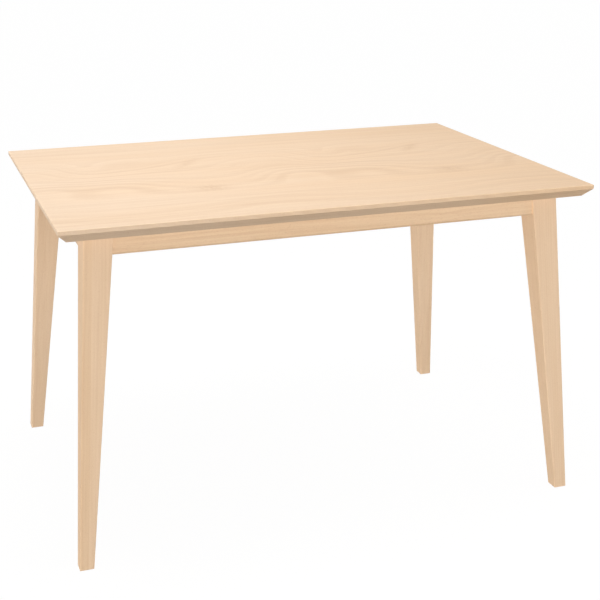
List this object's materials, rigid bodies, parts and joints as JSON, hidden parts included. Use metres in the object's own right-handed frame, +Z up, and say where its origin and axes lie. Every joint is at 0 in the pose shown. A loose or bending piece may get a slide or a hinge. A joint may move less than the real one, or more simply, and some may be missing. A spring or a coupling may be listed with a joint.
{
  "type": "extending dining table",
  "caption": "Rectangular wooden dining table on tapered splayed legs, with a sliding one-piece top and an extension leaf stored in the frame.",
  "frame": {"origin": "on the floor, under the middle of the closed table", "axes": "+X along the table towards the end that the top slides to, +Y from the front edge to the back edge, +Z up"},
  "size_m": [1.2, 0.8, 0.756],
  "materials": {
    "top_wood": "clear matt lacquer on beech",
    "leaf_wood": "clear matt lacquer on beech",
    "leg_wood": "clear matt lacquer on beech",
    "rail_wood": "clear matt lacquer on beech",
    "block_wood": "sanded beech, unlacquered",
    "zinc_steel": "zinc-plated steel",
    "screw_steel": "zinc-plated steel",
    "white_nylon": "natural nylon",
    "grey_plastic": "moulded grey nylon",
    "bright_steel": "bright drawn steel",
    "brass": "turned brass",
    "felt": "pressed wool felt"
  },
  "bodies": {
    "frame": {"back_rail": "rail_wood", "bolt_bracket": "zinc_steel", "bolt_bracket_screws": "screw_steel", "bolt_nuts": "zinc_steel", "bolt_washers": "zinc_steel", "corner_block_back_left": "block_wood", "corner_block_back_right": "block_wood", "corner_block_front_left": "block_wood", "corner_block_front_right": "block_wood", "corner_block_screws": "screw_steel", "extension_leaf": "leaf_wood", "felt_pads": "felt", "foot_glide_back_left": "white_nylon", "foot_glide_back_right": "white_nylon", "foot_glide_front_left": "white_nylon", "foot_glide_front_right": "white_nylon", "front_rail": "rail_wood", "glide_strips_back": "white_nylon", "glide_strips_ends": "white_nylon", "glide_strips_front": "white_nylon", "hanger_bolts": "zinc_steel", "leaf_bearer_left": "block_wood", "leaf_bearer_right": "block_wood", "leaf_fence_back_left": "block_wood", "leaf_fence_back_right": "block_wood", "leaf_fence_front_left": "block_wood", "leaf_fence_front_right": "block_wood", "leaf_socket_left": "grey_plastic", "leaf_socket_right": "grey_plastic", "leaf_socket_screws": "screw_steel", "left_end_rail": "rail_wood", "leg_back_left": "leg_wood", "leg_back_right": "leg_wood", "leg_front_left": "leg_wood", "leg_front_right": "leg_wood", "right_end_rail": "rail_wood", "shoe_angle_back_left": "zinc_steel", "shoe_angle_back_right": "zinc_steel", "shoe_angle_front_left": "zinc_steel", "shoe_angle_front_right": "zinc_steel", "shoe_angle_screws": "screw_steel", "shoe_bolts": "screw_steel", "slide_shoe_back_left": "white_nylon", "slide_shoe_back_right": "white_nylon", "slide_shoe_front_left": "white_nylon", "slide_shoe_front_right": "white_nylon"},
    "top": {"fork_guide_back": "grey_plastic", "fork_guide_front": "grey_plastic", "fork_guide_screws": "screw_steel", "slide_channel_back": "zinc_steel", "slide_channel_front": "zinc_steel", "slide_channel_screws": "screw_steel", "slide_stops_back": "white_nylon", "slide_stops_front": "white_nylon", "strike_bushes": "brass", "table_top": "top_wood"},
    "drop_bolt": {"drop_bolt": "bright_steel"},
    "fork_front": {"lock_fork_front": "bright_steel"},
    "fork_back": {"lock_fork_back": "bright_steel"}
  },
  "joints": [
    {"name": "top_slide", "type": "slide", "parent": "frame", "child": "top", "axis": [1, 0, 0], "range_m": [0, 0.4]},
    {"name": "drop_bolt_lift", "type": "slide", "parent": "frame", "child": "drop_bolt", "axis": [0, 0, 1], "range_m": [0, 0.012]},
    {"name": "lock_fork_front_slide", "type": "slide", "parent": "top", "child": "fork_front", "axis": [-1, 0, 0], "range_m": [0, 0.04]},
    {"name": "lock_fork_back_slide", "type": "slide", "parent": "top", "child": "fork_back", "axis": [-1, 0, 0], "range_m": [0, 0.04]}
  ]
}
